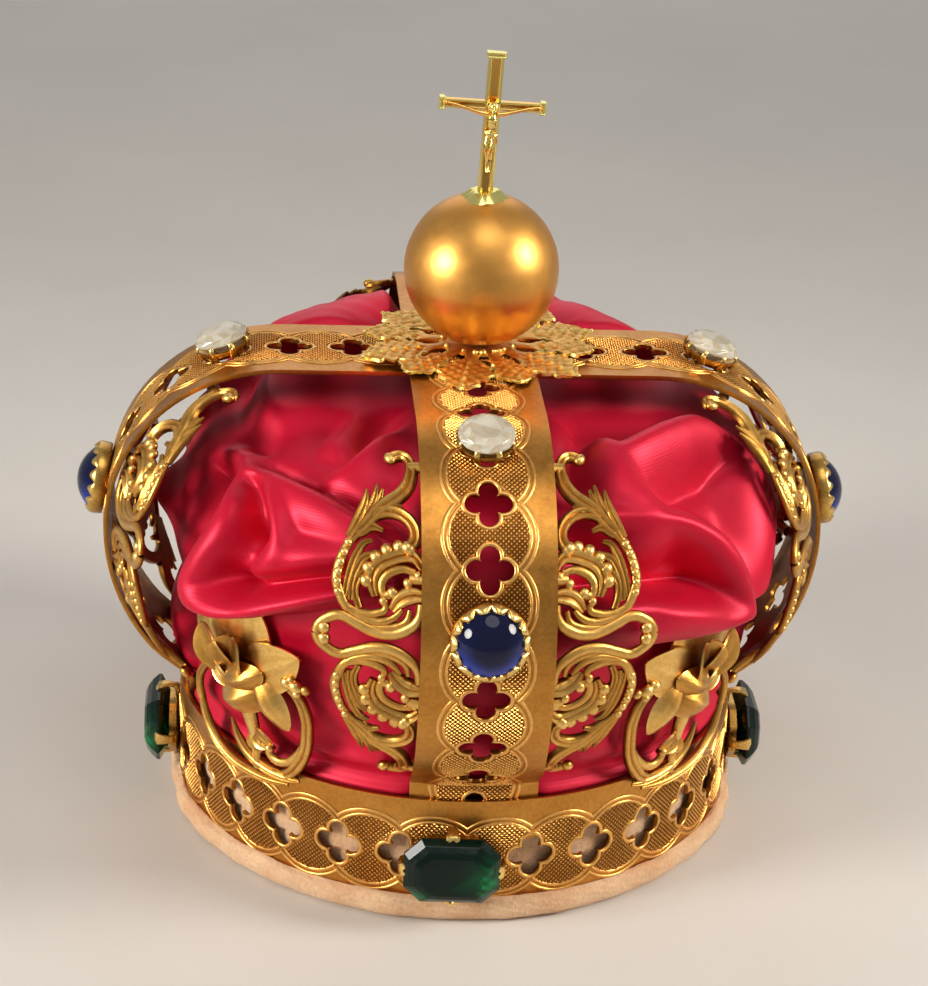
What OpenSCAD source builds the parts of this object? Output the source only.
// Small closed crown for a statue: a pierced gilt band on a velvet lining, two arched straps of the
// same pierced strip, scroll plates along the straps, lily sprays on the band, glass stones in
// claw and crown settings, a puffed satin cap, and an orb and crucifix on a leafed rosette.
// The crown stands on the floor at Z = 0, its axis is Z, and its front stone faces -Y.

/* [Band] */
// Outside radius of the pierced band
band_radius = 55; // [45:0.5:80]
// Width of the pierced strip that band and straps are cut from
strip_width = 24; // [20:0.5:30]
// Thickness of the strip
strip_sheet = 0.9; // [0.6:0.1:1.4]
// Height of the lower edge of the band above the floor
band_lift = 1.6; // [1:0.1:4]
// Piercings around the band
band_piercings = 28; // [20:4:40]
// Distance of a lobe of the piercing from its middle
lobe_offset = 2.55; // [2.2:0.05:2.8]
// Radius of a lobe of the piercing
lobe_radius = 1.85; // [1.6:0.05:2.1]

/* [Lining] */
// Inside radius of the velvet lining
lining_inside = 50.8; // [45:0.1:53]
// Outside radius of the velvet roll under the band
lining_outside = 57.2; // [56:0.1:60]
// Height of the roll on the outside of the band
roll_height = 5.4; // [3:0.1:8]
// Height of the lining inside the band
lining_height = 24; // [15:0.5:26]

/* [Straps] */
// Widest radius of a strap, at the middle of its sheet
strap_reach = 69; // [62:0.5:80]
// Height of the widest place
strap_waist = 60.5; // [50:0.5:75]
// Radius of the shoulder of the lower strap
shoulder_radius = 33; // [25:0.5:40]
// Radius of the lower bow
bow_radius = 40; // [35:0.5:45]
// Turn of the lower bow down to the crease above the band
bow_turn = 55; // [50:0.5:60]
// Distance between piercings along a strap
strap_pitch = 12.1; // [11:0.1:14]
// Place of the blue stone, measured along the strap from the crown's middle
strap_mid = 82.6; // [76:0.1:90]
// Turn of the front-back strap about the crown's axis, as the photographed crown is put together
front_turn = 1.2; // [-2:0.1:2]

/* [Scroll plates] */
// Thickness of a scroll plate
scroll_sheet = 1.1; // [0.8:0.1:1.5]
// Turn of a scroll plate about the crown's axis away from its strap
scroll_turn = 18; // [14:0.5:22]
// Drop of a scroll plate's middle below the blue stone
scroll_drop = 2; // [0:0.1:3]
// Length of a scroll plate as a share of its drawing
scroll_stretch = 1.07; // [0.95:0.01:1.08]

/* [Sprays] */
// Thickness of a spray plate
spray_sheet = 1.2; // [0.8:0.1:1.6]
// Place of a spray around the band, from the front
spray_place = 43.5; // [40:0.5:50]
// Outward lean of a spray
spray_lean = 6.5; // [0:0.5:12]

/* [Stones] */
// Length of a green stone
green_length = 18; // [14:0.5:20]
// Height of a green stone
green_height = 13.4; // [10:0.2:16]
// Height of the green stones' middle above the floor
green_place = 13.4; // [10:0.1:16]
// Turn of the front green stone to the left, as the photographed crown is put together
green_turn = 2.7; // [0:0.1:5]
// Diameter of a blue dome
blue_diameter = 13; // [10:0.5:15]
// Diameter of a clear stone
clear_diameter = 10.4; // [8:0.2:12]

/* [Top] */
// Radius of the rosette over its leaf tips
rosette_radius = 24; // [20:0.5:26]
// Height that the rosette's middle stands above its leaf tips
rosette_dome = 0.6; // [0.4:0.1:1.5]
// Radius of the orb
orb_radius = 14.8; // [12:0.1:18]
// Height of the crucifix
cross_height = 28; // [24:0.5:36]
// Width of the crucifix over its arms
cross_width = 20; // [16:0.2:26]
// Sideways place of the rosette, orb and crucifix, as the photographed crown is put together
top_shift = 2; // [0:0.5:3]
// Sideways lean of the crucifix
cross_lean = 2.5; // [0:0.5:4]

/* [Cap] */
// Depth of the satin under the straps, between its folds
cap_inset = 9; // [7:0.1:10]
// Share of the folds' height
fold_share = 1; // [0:0.05:1]
// Points around the cap
cap_round = 48; // [32:4:56]
// Rows of points up the outside of the cap
cap_rows = 22; // [14:1:24]

/* [Hidden] */

gold = [0.80, 0.60, 0.26];
bright_gold = [0.90, 0.72, 0.34];
velvet_cream = [0.90, 0.80, 0.68];
satin_red = [0.76, 0.04, 0.16];
emerald = [0.03, 0.20, 0.11];
sapphire = [0.06, 0.12, 0.42];
crystal = [0.86, 0.84, 0.78];

round_fn = 96;
half_sheet = strip_sheet / 2;
band_inside = band_radius - strip_sheet;
band_top = band_lift + strip_width;
band_middle = band_lift + strip_width / 2;
foot_outside = band_inside - 0.05;
foot_inside = foot_outside - strip_sheet;
// the front strap passes over the side strap at the top
over_lift = strip_sheet + 0.05;
bow_axis = strap_reach - bow_radius;
top_height = strap_waist + shoulder_radius + over_lift + half_sheet;
rosette_base = top_height + 0.05;
rosette_sheet = 0.9;
rosette_ball = (rosette_radius * rosette_radius + rosette_dome * rosette_dome) / (2 * rosette_dome);
orb_seat = rosette_base + rosette_dome + rosette_sheet;
orb_flat = 4;
orb_middle = orb_seat + sqrt(orb_radius * orb_radius - orb_flat * orb_flat);
orb_top = orb_middle + orb_radius;
cross_base = orb_top - 0.3;

// strap line: radius, height and outward slope at a distance along the strap from the middle
function shoulder(lift) = shoulder_radius + lift;
function flat_run(lift) = strap_reach - shoulder(lift);
function bow_start(lift) = flat_run(lift) + shoulder(lift) * PI / 2;
function shoulder_angle(s, lift) = (s - flat_run(lift)) / shoulder(lift) * 180 / PI;
function bow_angle(s, lift) = (s - bow_start(lift)) / bow_radius * 180 / PI;
function strap_r(s, lift) =
  s < flat_run(lift) ? s :
  s < bow_start(lift) ? flat_run(lift) + shoulder(lift) * sin(shoulder_angle(s, lift)) :
  bow_axis + bow_radius * cos(bow_angle(s, lift));
function strap_z(s, lift) =
  s < flat_run(lift) ? strap_waist + shoulder(lift) :
  s < bow_start(lift) ? strap_waist + shoulder(lift) * cos(shoulder_angle(s, lift)) :
  strap_waist - bow_radius * sin(bow_angle(s, lift));
function strap_slope(s, lift) =
  s < flat_run(lift) ? 90 :
  s < bow_start(lift) ? 90 - shoulder_angle(s, lift) :
  -bow_angle(s, lift);

// stands children on the front strap, outward along +Z and sideways along +X
module on_strap(s, lift, up = 0) {
  e = strap_slope(s, lift);
  translate([0, -strap_r(s, lift) - up * cos(e), strap_z(s, lift) + up * sin(e)])
    rotate([90 - e, 0, 0])
      children();
}

module quatrefoil() {
  for (a = [0 : 90 : 270])
    rotate(a)
      translate([lobe_offset, 0])
        circle(r = lobe_radius, $fn = 32);
  square(2.6, center = true);
}

// part of a strip curved about a sideways line, from slope a0 up to slope a1
module bent_strip(axis_r, axis_z, inside, outside, wide, a0, a1) {
  translate([0, -axis_r, axis_z])
    rotate([0, 90, 0])
      rotate([0, 0, -90 - a1])
        rotate_extrude(angle = a1 - a0, $fn = round_fn)
          translate([inside, -wide / 2])
            square([outside - inside, wide]);
}

module half_strap(lift) {
  r = shoulder(lift);
  bent_strip(flat_run(lift), strap_waist, r - half_sheet, r + half_sheet, strip_width, 0, 90);
  difference() {
    bent_strip(bow_axis, strap_waist, bow_radius - half_sheet, bow_radius + half_sheet,
               strip_width, -bow_turn, 0);
    translate([0, 0, strap_waist - bow_radius])
      cylinder(r = foot_inside + 0.25, h = 20, $fn = round_fn);
  }
  // foot, rounded to lie against the inside of the band
  intersection() {
    translate([0, 0, band_lift + 4.5])
      difference() {
        cylinder(r = foot_outside, h = strap_waist - bow_radius + 7.2 - band_lift - 4.5, $fn = round_fn);
        translate([0, 0, -1])
          cylinder(r = foot_inside, h = 60, $fn = round_fn);
      }
    translate([-strip_width / 2, -60, 0])
      cube([strip_width, 30, 60]);
  }
}

module strap(lift) {
  z = strap_waist + shoulder(lift);
  difference() {
    union() {
      translate([-strip_width / 2, -flat_run(lift), z - half_sheet])
        cube([strip_width, 2 * flat_run(lift), strip_sheet]);
      for (a = [0, 180])
        rotate([0, 0, a])
          half_strap(lift);
    }
    for (a = [0, 180])
      rotate([0, 0, a])
        for (k = [-5 : 3])
          on_strap(strap_mid + k * strap_pitch, lift)
            translate([0, 0, -3])
              linear_extrude(6)
                quatrefoil();
  }
}

module circlet_band() {
  color(gold)
    difference() {
      translate([0, 0, band_lift])
        cylinder(r = band_radius, h = strip_width, $fn = round_fn);
      translate([0, 0, band_lift - 1])
        cylinder(r = band_inside, h = strip_width + 2, $fn = round_fn);
      for (k = [0 : band_piercings - 1])
        rotate([0, 0, k * 360 / band_piercings])
          translate([0, -band_radius + 4, band_middle])
            rotate([90, 0, 0])
              linear_extrude(8)
                quatrefoil();
    }
}

// velvet lining, turned under the lower edge of the band and up against its outside
module velvet_lining() {
  gap = 0.05;
  mid = (lining_inside + lining_outside) / 2;
  half = (lining_outside - lining_inside) / 2;
  // rounded underside with a narrow flat that the crown stands on
  under = [for (a = [180, 195, 210, 225, 240, 255, 285, 300, 315, 330, 345, 360])
    [mid + half * cos(a), 2.4 * sin(75) + 2.4 * sin(a)]];
  outer = [[lining_outside, roll_height - 1.6], [lining_outside - 0.5, roll_height - 0.5],
           [lining_outside - 1.4, roll_height], [band_radius + gap, roll_height]];
  slot = [[band_radius + gap, band_lift - gap], [foot_inside - 0.1, band_lift - gap]];
  inner = [[foot_inside - 0.1, lining_height - 0.8], [foot_inside - 0.7, lining_height],
           [lining_inside + 0.7, lining_height], [lining_inside, lining_height - 0.8]];
  color(velvet_cream)
    rotate_extrude($fn = round_fn)
      polygon(concat(under, outer, slot, inner));
}

module front_back_strap() {
  color(gold)
    rotate([0, 0, front_turn])
      strap(over_lift);
}

module side_strap() {
  color(gold)
    rotate([0, 0, 90])
      strap(0);
}

// strokes: a line of points with a width at each end gives an outline
function along(p) = [for (i = [0 : len(p) - 1])
  let (d = p[min(i + 1, len(p) - 1)] - p[max(i - 1, 0)]) d / norm(d)];
function bank(p, w0, w1, k) = let (d = along(p), n = len(p) - 1)
  [for (i = [0 : n]) p[i] + k * [-d[i][1], d[i][0]] * (w0 + (w1 - w0) * i / n) / 2];
function turned(p) = [for (i = [len(p) - 1 : -1 : 0]) p[i]];
function outline(p, w0, w1) = concat(bank(p, w0, w1, 1), turned(bank(p, w0, w1, -1)));

// scroll plate lines: [distance from the strap's middle, distance below the plate's middle]
hook_line = [[17.4, -33.0], [16.1, -34.1], [14.6, -34.0], [13.5, -32.6], [13.4, -30.4],
             [14.2, -27.9], [16.2, -25.4], [18.6, -23.5], [20.9, -21.1], [23.1, -18.8], [24.7, -16.9]];
long_leaf_line = [[19.7, -27.2], [20.4, -24.6], [21.5, -22.2], [22.9, -19.7]];
edge_leaf_line = [[21.8, -25.9], [22.3, -23.6], [23.2, -21.3], [24.3, -18.9], [25.2, -16.8]];
spine_line = [[24.6, -17.3], [26.1, -14.4], [27.0, -11.8], [27.3, -9.4], [26.7, -7.1],
              [25.4, -5.4], [23.4, -4.7], [21.2, -5.0], [19.6, -6.0]];
loop_line = [[14.6, -16.5], [13.2, -17.7], [13.0, -19.3], [13.7, -21.0], [15.2, -22.2],
             [17.2, -22.6], [19.2, -22.1], [21.0, -20.9], [22.6, -19.2]];
inner_leaf_line = [[20.9, -17.0], [22.5, -16.2], [23.8, -14.2], [24.7, -11.8], [25.3, -9.2], [25.3, -6.5]];
low_leaf_line = [[18.9, -15.2], [21.0, -14.6], [22.6, -13.4], [23.7, -11.3], [24.3, -9.0], [24.3, -5.6]];
snail_line = [[12.3, -14.4], [13.7, -15.2], [15.5, -15.2], [17.4, -14.4], [19.2, -13.3],
              [20.5, -11.5], [20.8, -9.5], [20.3, -7.9]];
snail_core_line = [[12.6, -12.4], [15.1, -12.7], [17.0, -12.2], [18.4, -10.9], [18.9, -9.3],
                   [18.3, -7.8], [17.0, -6.8]];
base_leaf_line = [[12.3, -9.4], [13.6, -9.4], [15.2, -8.4], [17.0, -6.6], [19.0, -6.4]];
crescent_line = [[12.9, -8.6], [12.7, -5.0], [14.4, -3.0], [17.4, -1.9], [20.6, -1.9],
                 [23.8, -2.7], [26.8, -3.5], [29.3, -2.8], [30.7, -1.5], [31.0, 0.4]];
crescent_core_line = [[14.4, -8.4], [15.6, -5.0], [18.4, -3.4], [21.2, -3.2], [23.8, -3.8], [25.8, -5.2]];

function scroll_strokes() = [
  outline(hook_line, 2.3, 1.9), outline(long_leaf_line, 0.9, 2.0), outline(edge_leaf_line, 0.9, 2.1),
  outline(spine_line, 2.1, 1.9), outline(loop_line, 2.4, 2.0), outline(inner_leaf_line, 0.8, 1.9),
  outline(low_leaf_line, 0.8, 1.9), outline(snail_line, 2.6, 2.6), outline(snail_core_line, 1.6, 2.0),
  outline(base_leaf_line, 3.2, 2.0), outline(crescent_line, 2.0, 1.9), outline(crescent_core_line, 2.0, 2.0)
];

// place along the strap of a level of the scroll plate, counted down from the plate's middle
function scroll_place(d) = strap_mid + scroll_drop + scroll_stretch * d;
// outline points laid on the upright plane that faces the plate
// so that the plate's near edge keeps to the strap's edge and the plate falls away from it
function laid(q, m, lift) = [for (a = q)
  let (s = scroll_place(m * a[1]), edge = strip_width / 2,
       across = edge + (a[0] - edge) * cos(scroll_turn),
       r = strap_r(s, lift) - (half_sheet + 0.7) * cos(strap_slope(s, lift)))
  [(across - r * sin(scroll_turn)) / cos(scroll_turn), strap_z(s, lift)]];

// slice of a flat ring, seen in the upright plane through the strap
module ring_slice(axis_r, inside, outside, a0, a1) {
  far = 2 * outside;
  translate([axis_r, strap_waist])
    intersection() {
      difference() {
        circle(r = outside, $fn = round_fn);
        circle(r = inside, $fn = round_fn);
      }
      polygon([[0, 0], [far * cos(a0), far * sin(a0)], [far * cos(a1), far * sin(a1)]]);
    }
}

module scroll_plate(lift) {
  r = shoulder(lift);
  back = half_sheet + 0.15;
  rotate([0, 0, scroll_turn])
    intersection() {
      translate([13, 0, 0])
        rotate([90, 0, -90])
          linear_extrude(26)
            union() {
              ring_slice(flat_run(lift), r - back - scroll_sheet, r - back, 0, 80);
              ring_slice(bow_axis, bow_radius - back - scroll_sheet, bow_radius - back, -54, 0);
            }
      translate([0, -34, 0])
        rotate([90, 0, 0])
          linear_extrude(40)
            union()
              for (m = [-1, 1])
                for (q = scroll_strokes())
                  polygon(laid(q, m, lift));
    }
  // tabs against the inner face of the strap
  for (d = [-32, -11.5, 11.5, 32])
    on_strap(scroll_place(d), lift, -half_sheet - 0.05)
      translate([strip_width / 2 - 2.6, -1.3, -1.9])
        cube([4.6, 2.6, 1.9]);
}

module scroll(turn, flip, lift) {
  color(bright_gold)
    rotate([0, 0, turn])
      mirror([flip, 0, 0])
        scroll_plate(lift);
}

module front_right_scroll() {
  scroll(front_turn, 0, over_lift);
}

module front_left_scroll() {
  scroll(front_turn, 1, over_lift);
}

module right_back_scroll() {
  scroll(90, 0, 0);
}

module right_front_scroll() {
  scroll(90, 1, 0);
}

module back_left_scroll() {
  scroll(180 + front_turn, 0, over_lift);
}

module back_right_scroll() {
  scroll(180 + front_turn, 1, over_lift);
}

module left_front_scroll() {
  scroll(270, 0, 0);
}

module left_back_scroll() {
  scroll(270, 1, 0);
}

// a petal from its root to its tip, widest at a third of its length
function petal(root, tip, wide) =
  let (d = tip - root, side = [-d[1], d[0]] / norm(d), n = 7,
       half = [for (i = [1 : n - 1]) wide / 2 * pow(sin(180 * pow(i / n, 0.8)), 0.8)])
  concat([root], [for (i = [1 : n - 1]) root + d * i / n + side * half[i - 1]],
         [tip], [for (i = [n - 1 : -1 : 1]) root + d * i / n - side * half[i - 1]]);

// spray lines and petals, drawn as the left spray is seen: [sideways, height above the floor]
low_stem_line = [[8.6, 24.6], [2.8, 24.0], [-2.2, 25.2], [-5.6, 27.8], [-8.8, 32.4]];
far_stem_line = [[4.0, 23.2], [-3.0, 23.0], [-8.4, 23.6], [-13.0, 25.4], [-16.6, 28.6], [-18.8, 33.0]];
left_loop_line = [[-18.6, 32.4], [-19.0, 36.4], [-17.6, 40.2], [-14.2, 42.8], [-9.4, 43.2]];
loop_stem_line = [[2.4, 25.0], [6.6, 26.8], [9.6, 30.2], [11.2, 34.6], [11.2, 39.4], [8.8, 43.2],
                  [4.6, 45.0]];
curl_line = [[10.8, 34.4], [9.2, 30.8], [6.2, 28.2], [3.4, 28.0], [2.6, 29.8]];
tube_line = [[-0.6, 24.4], [-1.6, 28.4], [-2.6, 33.0], [-3.4, 38.0], [-4.0, 42.0]];

module spray_outline() {
  for (q = [outline(low_stem_line, 1.4, 2.0), outline(far_stem_line, 2.2, 2.2),
            outline(left_loop_line, 1.4, 1.6), outline(loop_stem_line, 2.2, 2.0),
            outline(curl_line, 1.4, 1.8), outline(tube_line, 2.0, 4.6)])
    polygon(q);
  // two back petals, a side petal, the left petal, the lip, the hanging petal, the bud and the calyx
  for (q = [petal([-4.8, 40.6], [2.0, 58.6], 10.5), petal([-5.6, 41.2], [-14.2, 54.2], 10),
            petal([-4.6, 42.2], [10.2, 52.4], 9.5), petal([-3.6, 41.4], [-17.4, 45.2], 6.4),
            petal([1.4, 41.8], [-10.2, 35.6], 6.6), petal([-4.4, 42.4], [7.8, 36.6], 7),
            petal([3.6, 44.2], [12.2, 46.4], 4.8), petal([-3.2, 38.4], [-0.8, 27.4], 4.4),
            petal([-2.6, 32.6], [3.2, 31.2], 3.2)])
    polygon(q);
}

module spray(turn, flip) {
  low = band_radius + 0.05;
  grow = tan(spray_lean);
  color(bright_gold)
    rotate([0, 0, turn])
      mirror([flip, 0, 0])
        rotate([0, 0, -spray_place])
          intersection() {
            translate([0, 0, 20])
              difference() {
                cylinder(r1 = low + spray_sheet, r2 = low + spray_sheet + 40 * grow,
                         h = 40, $fn = round_fn);
                translate([0, 0, -0.5])
                  cylinder(r1 = low - 0.5 * grow, r2 = low + 40.5 * grow, h = 41, $fn = round_fn);
              }
            translate([0, -30, 0])
              rotate([90, 0, 0])
                linear_extrude(40)
                  union()
                    spray_outline();
          }
}

module front_left_spray() {
  spray(0, 0);
}

module front_right_spray() {
  spray(0, 1);
}

module back_right_spray() {
  spray(180, 0);
}

module back_left_spray() {
  spray(180, 1);
}

// a stone built of rings with cut corners: [half length, half height, corner cut, level]
function cut_ring(a, b, c, z) = [[a, -b + c, z], [a, b - c, z], [a - c, b, z], [-a + c, b, z],
                                 [-a, b - c, z], [-a, -b + c, z], [-a + c, -b, z], [a - c, -b, z]];

module cut_stone(rings) {
  n = 8;
  m = len(rings);
  points = [for (g = rings) each cut_ring(g[0], g[1], g[2], g[3])];
  sides = [for (j = [0 : m - 2]) for (i = [0 : n - 1])
    [j * n + i, (j + 1) * n + i, (j + 1) * n + (i + 1) % n, j * n + (i + 1) % n]];
  polyhedron(points, concat([[for (i = [0 : n - 1]) i]], sides,
                            [[for (i = [n - 1 : -1 : 0]) (m - 1) * n + i]]), convexity = 4);
}

// stands children on the front of the band at the stones' height, outward along +Z
module on_band(up) {
  translate([0, -band_radius - up, green_place])
    rotate([90, 0, 0])
      children();
}

module green_stone(turn) {
  a = green_length / 2;
  b = green_height / 2;
  color(emerald)
    rotate([0, 0, turn])
      on_band(2.2)
        cut_stone([[a - 3.4, b - 2.6, 1.4, 0], [a, b, 2.8, 1.7], [a, b, 2.8, 2.5],
                   [a - 1.5, b - 1.4, 2.3, 4.1], [a - 3.4, b - 3.0, 1.6, 4.9]]);
}

module green_claws(turn) {
  a = green_length / 2;
  b = green_height / 2;
  color(gold)
    rotate([0, 0, turn])
      on_band(0.1) {
        translate([-5.2, -3.6, 0])
          cube([10.4, 7.2, 2]);
        for (f = [0, 180])
          rotate(f) {
            // long claw at the end of the stone
            translate([4, -1.3, 0.6])
              cube([a - 2.7, 2.6, 1]);
            translate([a + 0.3, -1.3, 0.6])
              cube([1, 2.6, 4.6]);
            translate([a - 0.5, -1.3, 5.0])
              cube([1.8, 2.6, 0.8]);
            // short claw at the side of the stone
            translate([-1.3, 3, 0.6])
              cube([2.6, b - 1.7, 1]);
            translate([-1.3, b + 0.3, 0.6])
              cube([2.6, 1, 4.6]);
            translate([-1.3, b - 0.5, 5.0])
              cube([2.6, 1.8, 0.8]);
          }
      }
}

module front_green_stone() {
  green_stone(-green_turn);
}

module right_green_stone() {
  green_stone(90);
}

module back_green_stone() {
  green_stone(180);
}

module left_green_stone() {
  green_stone(270);
}

module front_green_claws() {
  green_claws(-green_turn);
}

module right_green_claws() {
  green_claws(90);
}

module back_green_claws() {
  green_claws(180);
}

module left_green_claws() {
  green_claws(270);
}

module blue_dome(turn, lift) {
  r = blue_diameter / 2;
  ball = r + 1.2;
  color(sapphire)
    rotate([0, 0, turn])
      on_strap(strap_mid, lift, half_sheet + 1.15)
        intersection() {
          cylinder(r = r, h = 8, $fn = round_fn);
          translate([0, 0, 6.1 - ball])
            sphere(r = ball, $fn = round_fn);
        }
}

// cup with a scalloped upper edge that holds the dome
module blue_collet(turn, lift) {
  r = blue_diameter / 2 + 0.05;
  color(gold)
    rotate([0, 0, turn])
      on_strap(strap_mid, lift, half_sheet + 0.1)
        difference() {
          cylinder(r1 = r + 0.5, r2 = r + 0.9, h = 3.8, $fn = round_fn);
          translate([0, 0, 1])
            cylinder(r = r, h = 5, $fn = round_fn);
          for (k = [0 : 13])
            rotate((k + 0.5) * 360 / 14)
              translate([r - 1, 0, 3.9])
                rotate([0, 90, 0])
                  cylinder(r = 1.1, h = 4, $fn = 24);
        }
}

module front_blue_dome() {
  blue_dome(front_turn, over_lift);
}

module right_blue_dome() {
  blue_dome(90, 0);
}

module back_blue_dome() {
  blue_dome(180 + front_turn, over_lift);
}

module left_blue_dome() {
  blue_dome(270, 0);
}

module front_blue_collet() {
  blue_collet(front_turn, over_lift);
}

module right_blue_collet() {
  blue_collet(90, 0);
}

module back_blue_collet() {
  blue_collet(180 + front_turn, over_lift);
}

module left_blue_collet() {
  blue_collet(270, 0);
}

clear_place = strap_mid - 3 * strap_pitch;

module clear_stone(turn, lift) {
  r = clear_diameter / 2;
  color(crystal)
    rotate([0, 0, turn])
      on_strap(clear_place, lift, half_sheet + 1.2) {
        cylinder(r1 = r * 0.45, r2 = r, h = 2.2, $fn = 12);
        translate([0, 0, 2.2])
          cylinder(r = r, h = 0.5, $fn = 12);
        translate([0, 0, 2.7])
          cylinder(r1 = r, r2 = r * 0.62, h = 1.5, $fn = 12);
      }
}

module clear_claws(turn, lift) {
  r = clear_diameter / 2;
  color(gold)
    rotate([0, 0, turn])
      on_strap(clear_place, lift, half_sheet + 0.1) {
        cylinder(r = r * 0.6, h = 1, $fn = round_fn);
        for (k = [0 : 7])
          rotate((k + 0.5) * 45) {
            translate([r * 0.4, -0.6, 0.2])
              cube([r * 0.6 + 0.9, 1.2, 0.8]);
            translate([r + 0.1, -0.6, 0.2])
              cube([0.8, 1.2, 4.2]);
            translate([r - 0.1, -0.6, 3.9])
              cube([1, 1.2, 0.5]);
          }
      }
}

module front_clear_stone() {
  clear_stone(front_turn, over_lift);
}

module right_clear_stone() {
  clear_stone(90, 0);
}

module back_clear_stone() {
  clear_stone(180 + front_turn, over_lift);
}

module left_clear_stone() {
  clear_stone(270, 0);
}

module front_clear_claws() {
  clear_claws(front_turn, over_lift);
}

module right_clear_claws() {
  clear_claws(90, 0);
}

module back_clear_claws() {
  clear_claws(180 + front_turn, over_lift);
}

module left_clear_claws() {
  clear_claws(270, 0);
}

// the cap: folds as [reach, line of [degrees from the front, distance along the strap, height]]
left_folds = [
  [7, [[-56, 56, 4], [-49, 66, 7.5], [-50.4, 80, 9.4], [-50.3, 87.4, 10], [-40, 85.8, 9.7],
       [-29, 80.2, 8.6], [-20, 76, 6.5]]],
  [7, [[-45, 59.6, 7.4], [-36.5, 69, 9.5], [-38, 78, 7.6]]],
  [11, [[-43, 57.2, 7.2], [-30.7, 59.2, 8.4], [-22, 62, 7]]],
  [7, [[-86, 62, 3], [-68, 54.6, 4.4], [-58, 55.4, 4.4]]],
  [11, [[-30, 16, 4], [-28.7, 30, 5.4], [-34, 51, 3]]]
];
right_folds = [
  [8, [[37, 45.5, 8.4], [53.8, 46.2, 8.6], [74, 48.6, 6.2], [86, 53, 4.6]]],
  [9, [[36, 46, 8.4], [34.2, 58.2, 9]]],
  [7.5, [[34, 60, 8], [43.6, 67.6, 9.8], [47.9, 78.8, 10.2], [50.8, 88.8, 10]]],
  [9, [[14, 79, 6], [27.7, 80.4, 9.2], [43, 85, 10], [50.8, 89, 10]]],
  [12, [[62, 58, 3.4], [60, 84, 6.4], [57, 96, 6]]],
  [9, [[84, 22, 2], [62, 17, 3], [40, 22, 3.6], [24, 34, 4]]]
];
fold_paths = concat(left_folds, right_folds);
back_puff = 4.5;

function clamp01(x) = min(1, max(0, x));
function ease(x) = let (t = clamp01(x)) t * t * (3 - 2 * t);
// degrees are drawn at the cap's own girth so that a fold has one width all along
function girth(q) = [q[0] * 1.08, q[1]];
// height that one piece of a fold gives at a point
function piece_at(p, a, b, reach) =
  let (start = girth(a), way = girth(b) - start,
       t = clamp01(((p - start) * way) / (way * way)),
       d = norm(p - start - t * way))
  (a[2] + t * (b[2] - a[2])) * max(0, 1 - d * d / (reach * reach));
function fold_at(phi, s) = fold_share * max([for (f = fold_paths)
  for (i = [0 : len(f[1]) - 2]) piece_at(girth([phi, s]), f[1][i], f[1][i + 1], f[0])]);
// degrees from -180 to 180, and the angle to the nearest strap
function wrapped(phi) = phi > 180 ? phi - 360 : phi;
function beside_strap(phi) = let (q = abs(wrapped(phi)) % 90) min(q, 90 - q);
// the hidden back half has the folds of the front turned half way round
function fold_turned(phi) = abs(wrapped(phi)) > 90 ? wrapped((phi + 180) % 360) : wrapped(phi);
function behind_spray(phi, z) = ease((beside_strap(phi) - 16) / 9) * ease((63 - z) / 4.5);
// on the left side the satin stands well clear of the strap
function left_gap(phi, s) =
  ease((36 - abs(wrapped(phi) + 90)) / 14) * ease((s - 38) / 10) * ease((116 - s) / 12);
function cap_depth(phi, s) = cap_inset + ease(s / 60) * 2 + 4 * left_gap(phi, s);
function puff_at(phi, s) = abs(wrapped(phi)) > 90 ? back_puff * exp(-pow((s - 34) / 15, 2)) : 0;
// near the band the satin comes forward, less behind the scroll plates and least under the straps
function under_strap(phi) = 1 - ease((beside_strap(phi) - 15) / 8);
function foot_sink(phi) = 1.35 + 1.45 * (1 - ease((beside_strap(phi) - 26) / 6)) + 3.2 * under_strap(phi);
function foot_point(phi) = [52.3 - 1.4 * under_strap(phi), 24.3];
function cap_sink(phi, s) =
  let (room = ease((beside_strap(phi) - 16) / 8),
       deep = max(2.8, cap_depth(phi, s) - fold_at(fold_turned(phi), s) - puff_at(phi, s)),
       under = 7 + 5.5 * left_gap(phi, s),
       sink = under + room * (deep - under))
  sink + ease((s - 106) / 17) * (foot_sink(phi) - sink);
function cap_point(phi, s) =
  let (e = strap_slope(s, 0),
       sink = cap_sink(phi, s),
       r = max(strap_r(s, 0) - sink * cos(e), 0),
       z = strap_z(s, 0) - sink * sin(e),
       neck = 52.6 + 0.13 * (z - 24),
       q = behind_spray(phi, z))
  [r + q * (min(r, neck) - r), z];
function at_angle(p, phi) = [p[0] * sin(phi), -p[0] * cos(phi), p[1]];

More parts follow.
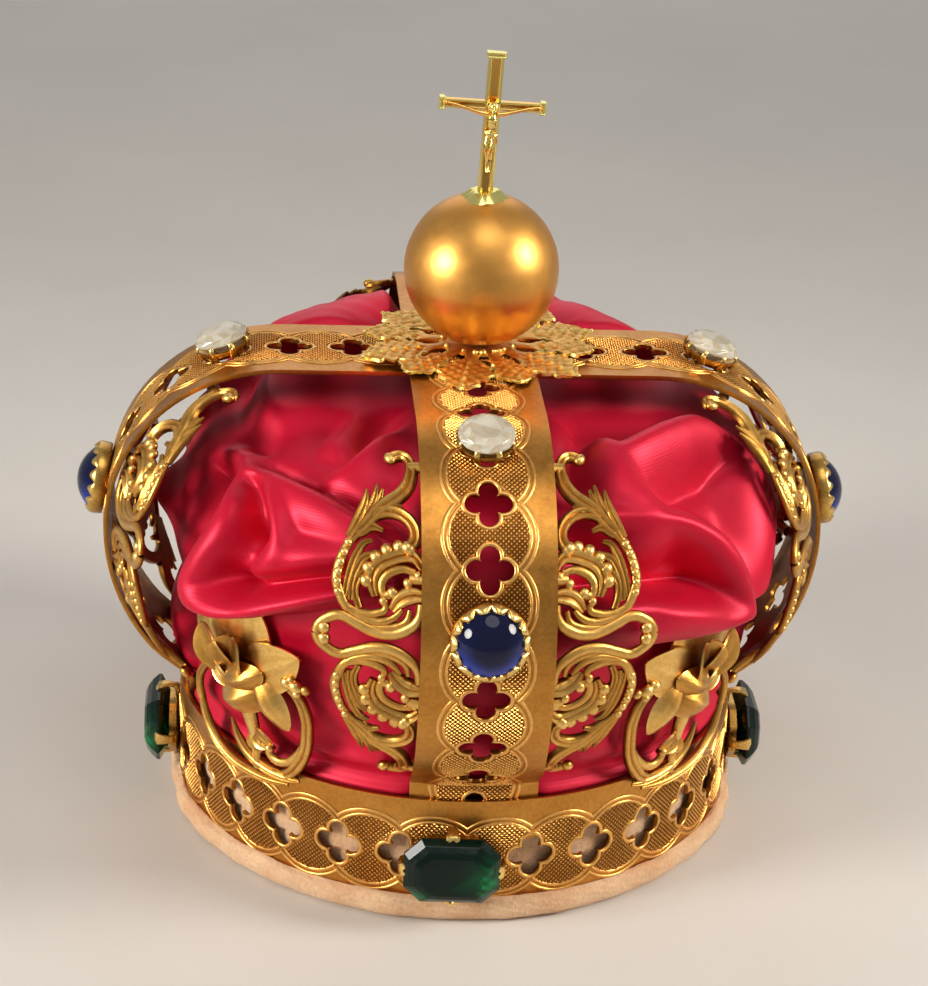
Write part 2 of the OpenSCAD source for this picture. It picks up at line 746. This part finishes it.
module satin_cap() {
  n = cap_round;
  last = bow_start(0) + 34;
  outer = [for (j = [0 : cap_rows - 1]) for (i = [0 : n - 1])
    let (phi = i * 360 / n, s = 6 + (last - 6) * (1 - j / (cap_rows - 1)))
      at_angle(j == 0 ? foot_point(phi) : cap_point(phi, s), phi)];
  inner_line = [[50.3, 24.3], [49.8, 66], [42, 77], [18, 80.5]];
  inner = [for (q = inner_line) for (i = [0 : n - 1]) at_angle(q, i * 360 / n)];
  rows = len(inner_line);
  base = cap_rows * n;
  crest = base + rows * n;
  skin = [for (j = [0 : cap_rows - 2]) for (i = [0 : n - 1]) let (k = (i + 1) % n)
    each [[j * n + i, (j + 1) * n + i, (j + 1) * n + k], [j * n + i, (j + 1) * n + k, j * n + k]]];
  crown = [for (i = [0 : n - 1]) [(cap_rows - 1) * n + i, crest, (cap_rows - 1) * n + (i + 1) % n]];
  inside = [for (j = [0 : rows - 2]) for (i = [0 : n - 1]) let (k = (i + 1) % n)
    each [[base + j * n + i, base + (j + 1) * n + k, base + (j + 1) * n + i],
          [base + j * n + i, base + j * n + k, base + (j + 1) * n + k]]];
  roof = [for (i = [0 : n - 1]) let (k = (i + 1) % n)
    [base + (rows - 1) * n + i, base + (rows - 1) * n + k, crest + 1]];
  rim = [for (i = [0 : n - 1]) let (k = (i + 1) % n)
    each [[i, k, base + k], [i, base + k, base + i]]];
  color(satin_red)
    polyhedron(concat(outer, inner, [[0, 0, 84.6], [0, 0, 80.8]]),
               concat(skin, crown, inside, roof, rim), convexity = 8);
}

// half outlines of the rosette's two leaves, pointing along +X: a pointed leaf and a lobed blossom
pointed_half = [[6, 1.8], [9.4, 1.5], [11, 2.6], [13, 4.6], [15.4, 5.9], [17.2, 6.5], [18.2, 5.2],
                [19.6, 4.5], [21.2, 3.2], [22.8, 1.6], [24, 0]];
blossom_half = [[6, 1.7], [9.6, 1.4], [11.4, 2.5], [13.2, 2.5], [14.6, 3.9], [16.4, 3.5], [17.8, 4.5],
                [19.6, 4], [20.6, 2.7], [21.8, 1.4], [22, 0]];
function both_sides(h) = concat([for (p = h) [p[0], -p[1]]], turned([for (p = h) if (p[1] > 0) p]));

module rosette_outline() {
  k = rosette_radius / 24;
  circle(r = 8.2, $fn = round_fn);
  for (a = [0 : 60 : 300])
    rotate(a - 101) {
      polygon([for (p = both_sides(pointed_half)) p * k]);
      rotate(30)
        polygon([for (p = both_sides(blossom_half)) p * k]);
    }
}

// leafed plate, dished over the crossing of the straps, with a flat under the orb
module top_rosette() {
  color(bright_gold)
    translate([top_shift, 0, 0])
      intersection() {
        translate([0, 0, orb_seat - rosette_ball])
          difference() {
            sphere(r = rosette_ball, $fn = round_fn);
            sphere(r = rosette_ball - rosette_sheet, $fn = round_fn);
          }
        translate([0, 0, rosette_base])
          linear_extrude(orb_seat - 0.05 - rosette_base)
            rosette_outline();
      }
}

module orb() {
  color(gold)
    translate([top_shift, 0, orb_middle])
      difference() {
        sphere(r = orb_radius, $fn = round_fn);
        sphere(r = orb_radius - 1, $fn = round_fn);
        translate([-10, -10, orb_seat - orb_middle - 20])
          cube([20, 20, 20]);
        // hole for the foot of the crucifix
        cylinder(r = 1.5, h = 20, $fn = 32);
      }
}

// collar of solder around the foot of the crucifix
module cross_seat() {
  color(bright_gold)
    translate([top_shift, 0, orb_top])
      difference() {
        translate([0, 0, -1.1])
          cylinder(r1 = 4.2, r2 = 2.3, h = 2.2, $fn = 24);
        translate([0, 0, orb_middle - orb_top])
          sphere(r = orb_radius + 0.02, $fn = round_fn);
        translate([0, 0, cross_base - orb_top])
          rotate([0, cross_lean, 0])
            union() {
              translate([-1.3, -0.9, -1])
                cube([2.6, 1.8, 6]);
              translate([0, 0, -4])
                cylinder(r = 1.25, h = 5, $fn = 32);
            }
      }
}

module in_cross() {
  translate([top_shift, 0, cross_base])
    rotate([0, cross_lean, 0])
      children();
}

bar_deep = 1.7;
arm_level = cross_height * 0.635;

module crucifix() {
  color(bright_gold)
    in_cross() {
      // foot inside the orb
      translate([0, 0, -4])
        cylinder(r = 1.2, h = 4.5, $fn = 32);
      translate([-1.25, -bar_deep / 2, 0])
        cube([2.5, bar_deep, cross_height]);
      translate([-cross_width / 2, -bar_deep / 2, arm_level - 0.95])
        cube([cross_width, bar_deep, 1.9]);
      // raised ends
      translate([-1.6, -bar_deep / 2 - 0.25, cross_height - 1.2])
        cube([3.2, bar_deep + 0.5, 1.2]);
      for (f = [-1, 1])
        translate([f * (cross_width / 2 - 0.55) - 0.55, -bar_deep / 2 - 0.25, arm_level - 1.2])
          cube([1.1, bar_deep + 0.5, 2.4]);
    }
}

// small figure in front of the crossing bars
module corpus() {
  front = -bar_deep / 2 - 0.05;
  color(bright_gold)
    in_cross()
      translate([0, front, arm_level]) {
        translate([0, -1.15, 0.6])
          sphere(r = 1.05, $fn = 32);
        // trunk, cloth and legs
        translate([0, -1.0, -4.6])
          cylinder(r1 = 0.75, r2 = 0.95, h = 4.4, $fn = 32);
        translate([0, -1.1, -6.4])
          cylinder(r1 = 1.05, r2 = 0.95, h = 2.2, $fn = 32);
        for (f = [-1, 1])
          translate([0.45 * f, -1.0, -11.4])
            cylinder(r1 = 0.42, r2 = 0.62, h = 5.4, $fn = 32);
        translate([-0.7, -1.2, -12.4])
          cube([1.4, 1.2, 1.2]);
        // arms, rising from the shoulders to the ends of the bar
        for (f = [-1, 1])
          translate([0, -0.75, -0.9])
            rotate([0, f * 82, 0])
              cylinder(r1 = 0.6, r2 = 0.42, h = 8.6, $fn = 32);
        for (f = [-1, 1])
          translate([f * 8.6, -0.7, 0.25])
            sphere(r = 0.6, $fn = 32);
      }
}

circlet_band();
velvet_lining();
front_back_strap();
side_strap();
front_right_scroll();
front_left_scroll();
right_back_scroll();
right_front_scroll();
back_left_scroll();
back_right_scroll();
left_front_scroll();
left_back_scroll();
front_right_spray();
front_left_spray();
back_left_spray();
back_right_spray();
front_green_stone();
right_green_stone();
back_green_stone();
left_green_stone();
front_green_claws();
right_green_claws();
back_green_claws();
left_green_claws();
front_blue_dome();
right_blue_dome();
back_blue_dome();
left_blue_dome();
front_blue_collet();
right_blue_collet();
back_blue_collet();
left_blue_collet();
front_clear_stone();
right_clear_stone();
back_clear_stone();
left_clear_stone();
front_clear_claws();
right_clear_claws();
back_clear_claws();
left_clear_claws();
satin_cap();
top_rosette();
orb();
cross_seat();
crucifix();
corpus();
